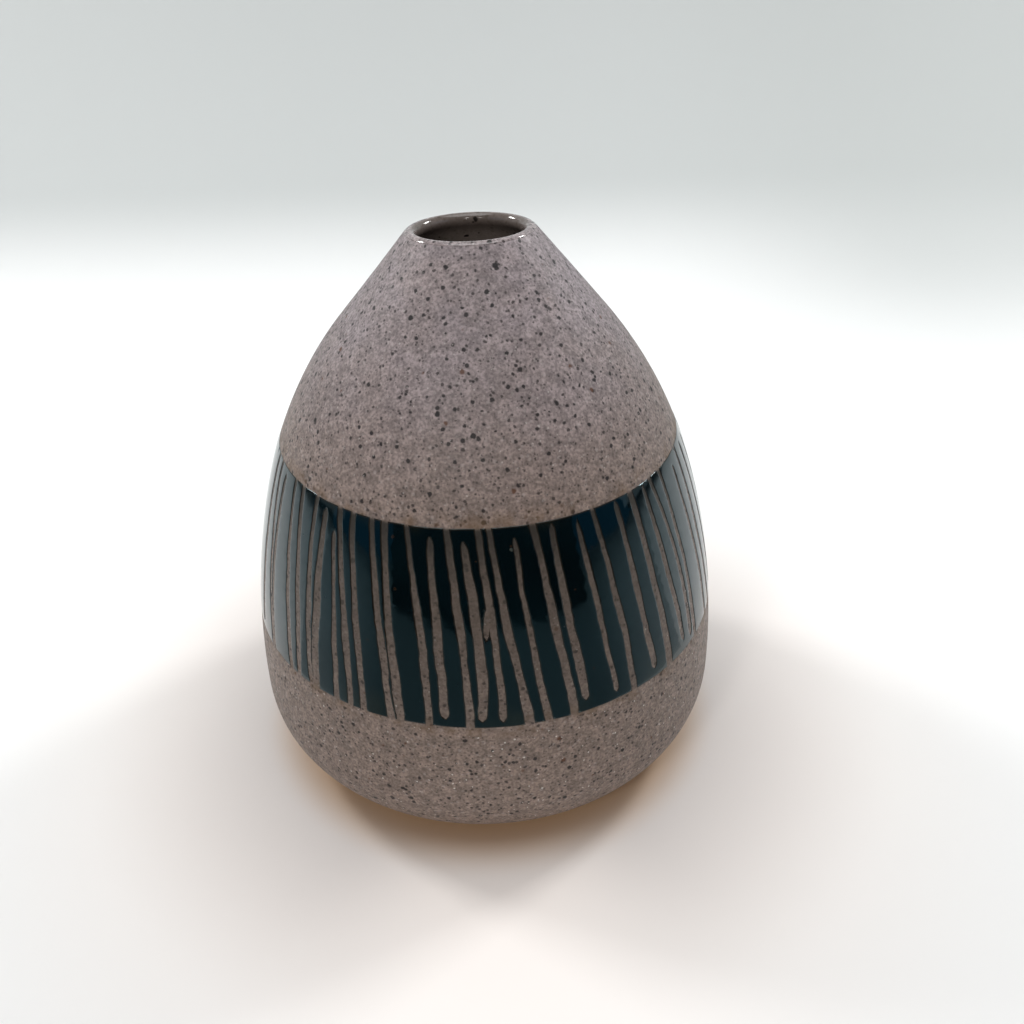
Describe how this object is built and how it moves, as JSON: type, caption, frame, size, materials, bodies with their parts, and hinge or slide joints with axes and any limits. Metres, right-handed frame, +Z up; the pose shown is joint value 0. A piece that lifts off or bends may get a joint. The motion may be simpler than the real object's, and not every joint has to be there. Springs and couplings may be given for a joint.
{
  "type": "bud vase",
  "caption": "Low egg-shaped stoneware bud vase with a narrow round mouth, a flat foot and a glossy band scratched with upright lines.",
  "frame": {"origin": "centre of the face that the foot rests on", "axes": "+Z up along the axis of the vase, -Y towards the front"},
  "size_m": [0.09, 0.09, 0.1029],
  "materials": {
    "bare_clay": "unglazed speckled grey-brown stoneware, matt with a faint sheen",
    "teal_glaze": "glossy dark teal glaze",
    "clear_glaze": "glossy clear glaze over the speckled clay"
  },
  "bodies": {
    "root": {"stoneware_body": "bare_clay", "teal_glaze_band": "teal_glaze", "liner_glaze": "clear_glaze"}
  },
  "joints": []
}
